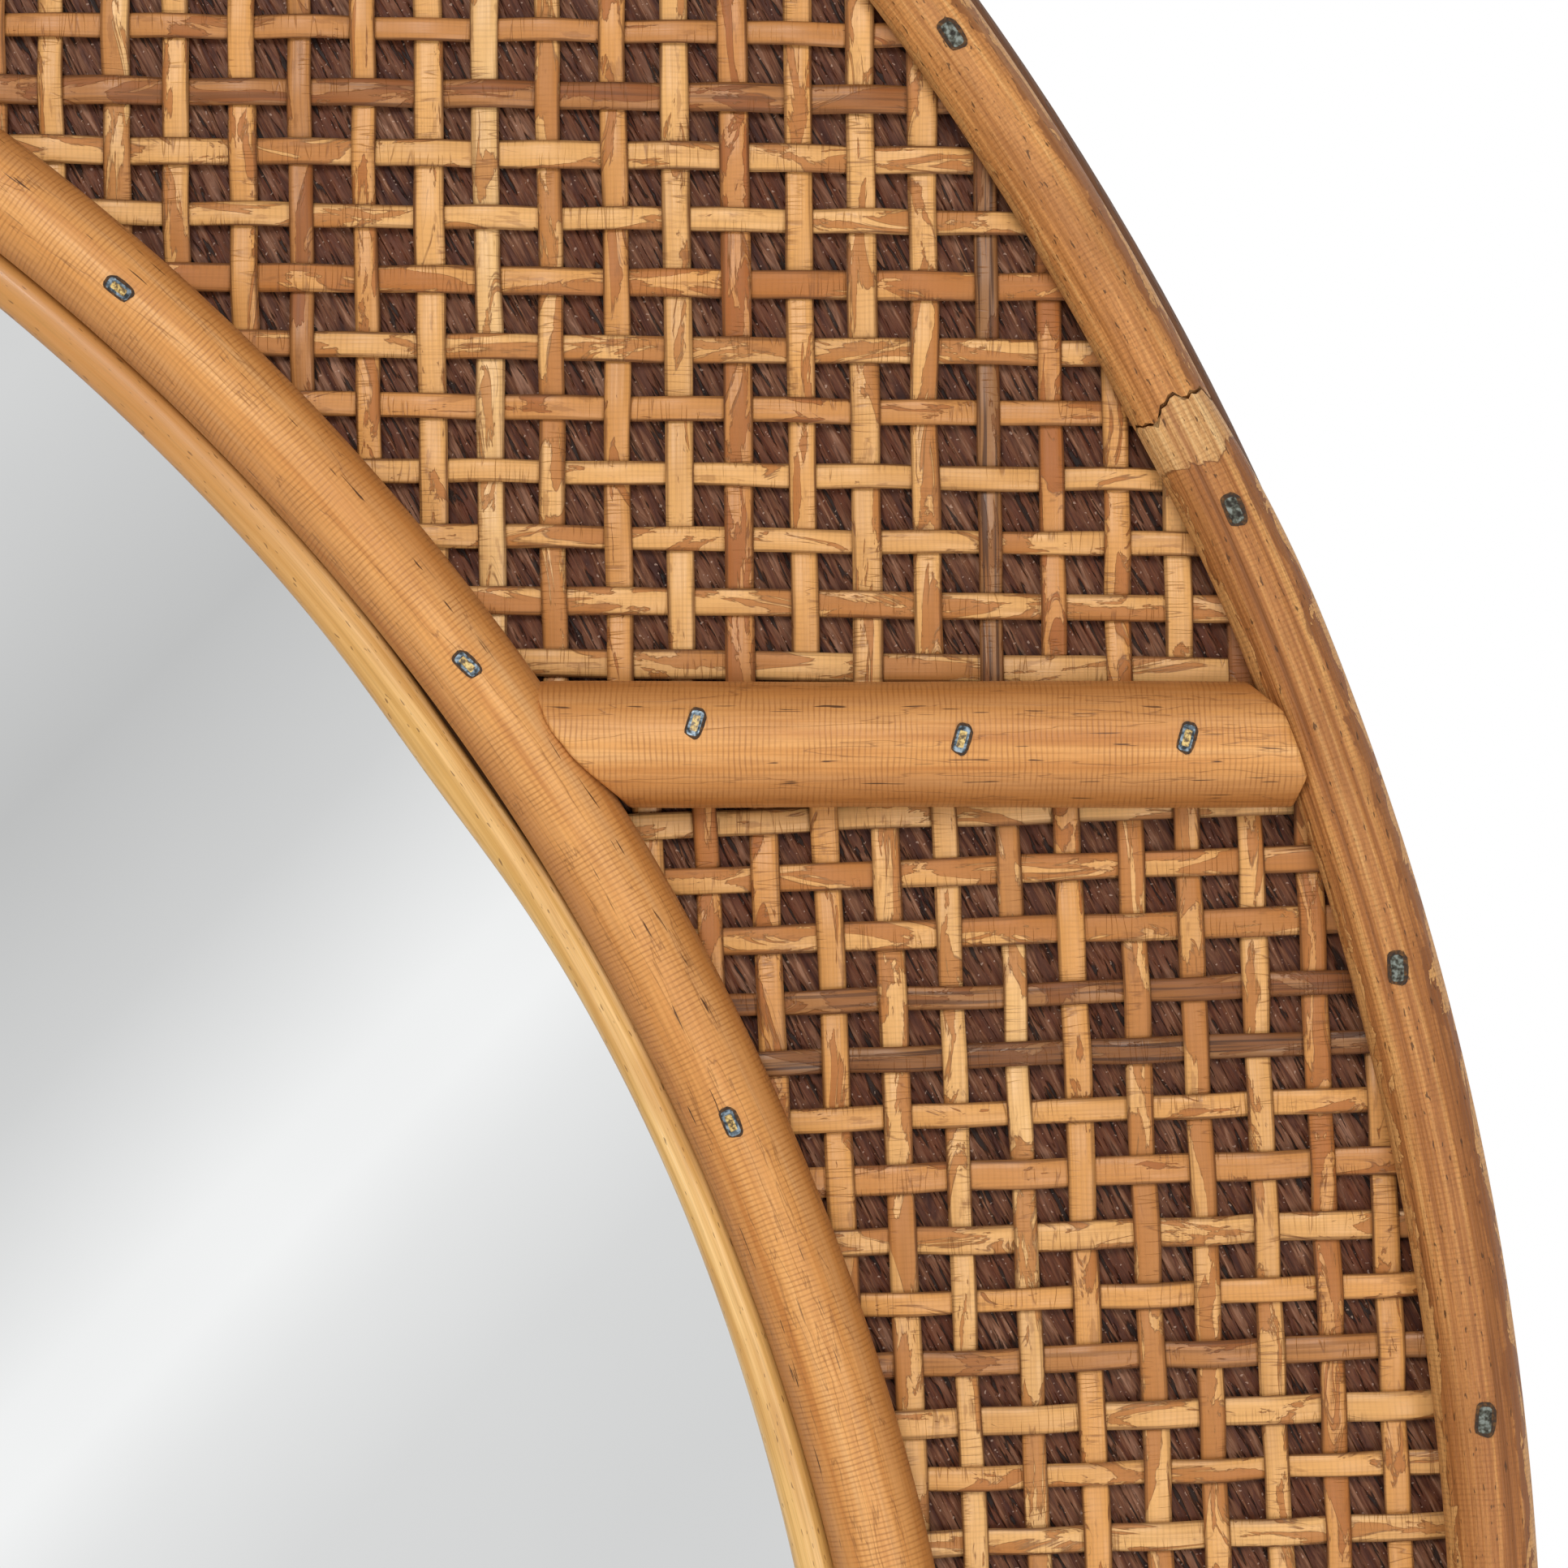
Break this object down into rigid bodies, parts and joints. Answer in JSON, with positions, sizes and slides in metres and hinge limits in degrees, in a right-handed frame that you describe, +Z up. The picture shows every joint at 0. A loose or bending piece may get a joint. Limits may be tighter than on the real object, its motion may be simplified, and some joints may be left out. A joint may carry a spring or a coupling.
{
  "type": "wall mirror",
  "caption": "Round wall mirror set low in a round plywood board, with a crescent band of open plain-woven rattan strips between an inner and an outer ring of rattan pole.",
  "frame": {"origin": "centre of the board's flat back face, on the wall", "axes": "+Z up, +Y into the wall, so the glass faces -Y; +X to the right as seen from the front"},
  "size_m": [0.9128, 0.0247, 0.914],
  "materials": {
    "stained_plywood": "dark stain, satin",
    "silvered_glass": "polished",
    "pale_rattan": "natural gloss",
    "rattan_pole": "clear satin",
    "rattan_strip": "clear satin",
    "steel": "zinc plated"
  },
  "bodies": {
    "root": {"backboard": "stained_plywood", "mirror_glass": "silvered_glass", "glass_bead": "pale_rattan", "inner_pole_ring": "rattan_pole", "outer_pole_upper": "rattan_pole", "outer_pole_lower": "rattan_pole", "top_cross_strips": "rattan_strip", "top_upright_strips": "rattan_strip", "right_cross_strips": "rattan_strip", "right_upright_strips": "rattan_strip", "left_cross_strips": "rattan_strip", "left_upright_strips": "rattan_strip", "left_strut": "rattan_pole", "right_strut": "rattan_pole", "left_hanger_plate": "steel", "right_hanger_plate": "steel"}
  },
  "joints": []
}
